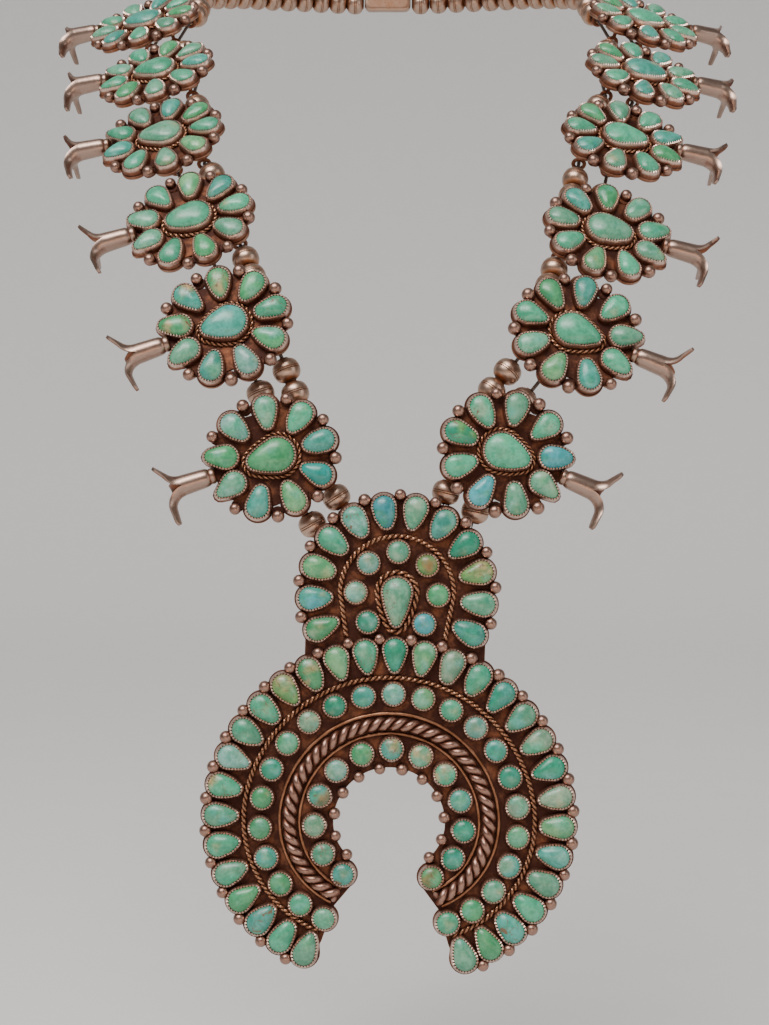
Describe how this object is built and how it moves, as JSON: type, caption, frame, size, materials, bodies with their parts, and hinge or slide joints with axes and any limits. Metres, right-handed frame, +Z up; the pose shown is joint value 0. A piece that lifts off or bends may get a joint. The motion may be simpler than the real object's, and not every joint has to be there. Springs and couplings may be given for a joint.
{
  "type": "squash blossom necklace",
  "caption": "Squash blossom necklace: a crescent pendant and cluster settings of turquoise in silver on two rows of silver beads, in the form it has when worn.",
  "frame": {"origin": "the nape of the neck, in the middle of the clasp, where the worn necklace hangs", "axes": "+Z up, the pendant's front faces -Y, +X to the right seen from the front"},
  "size_m": [0.2083, 0.1911, 0.301],
  "materials": {
    "silver": "aged silver, dark in the recesses",
    "turquoise": "polished cabochons, green to blue-green",
    "thread": "dull stringing cable"
  },
  "bodies": {
    "root": {"pendant_setting": "silver", "left_cluster_1_setting": "silver", "left_cluster_2_setting": "silver", "left_cluster_3_setting": "silver", "left_cluster_4_setting": "silver", "left_cluster_5_setting": "silver", "left_cluster_6_setting": "silver", "right_cluster_1_setting": "silver", "right_cluster_2_setting": "silver", "right_cluster_3_setting": "silver", "right_cluster_4_setting": "silver", "right_cluster_5_setting": "silver", "right_cluster_6_setting": "silver", "left_inner_beads": "silver", "left_outer_beads": "silver", "right_inner_beads": "silver", "right_outer_beads": "silver", "left_inner_back_strand": "silver", "left_outer_back_strand": "silver", "right_inner_back_strand": "silver", "right_outer_back_strand": "silver", "clasp": "silver", "crown_centre_stone": "turquoise", "crown_pear_stones": "turquoise", "crown_round_stones": "turquoise", "crescent_outer_stones": "turquoise", "crescent_middle_stones": "turquoise", "crescent_inner_stones": "turquoise", "left_cluster_1_stone": "turquoise", "left_cluster_2_stone": "turquoise", "left_cluster_3_stone": "turquoise", "left_cluster_4_stone": "turquoise", "left_cluster_5_stone": "turquoise", "left_cluster_6_stone": "turquoise", "right_cluster_1_stone": "turquoise", "right_cluster_2_stone": "turquoise", "right_cluster_3_stone": "turquoise", "right_cluster_4_stone": "turquoise", "right_cluster_5_stone": "turquoise", "right_cluster_6_stone": "turquoise", "left_cluster_1_petals": "turquoise", "left_cluster_2_petals": "turquoise", "left_cluster_3_petals": "turquoise", "left_cluster_4_petals": "turquoise", "left_cluster_5_petals": "turquoise", "left_cluster_6_petals": "turquoise", "right_cluster_1_petals": "turquoise", "right_cluster_2_petals": "turquoise", "right_cluster_3_petals": "turquoise", "right_cluster_4_petals": "turquoise", "right_cluster_5_petals": "turquoise", "right_cluster_6_petals": "turquoise", "inner_thread": "thread", "outer_thread": "thread"}
  },
  "joints": []
}
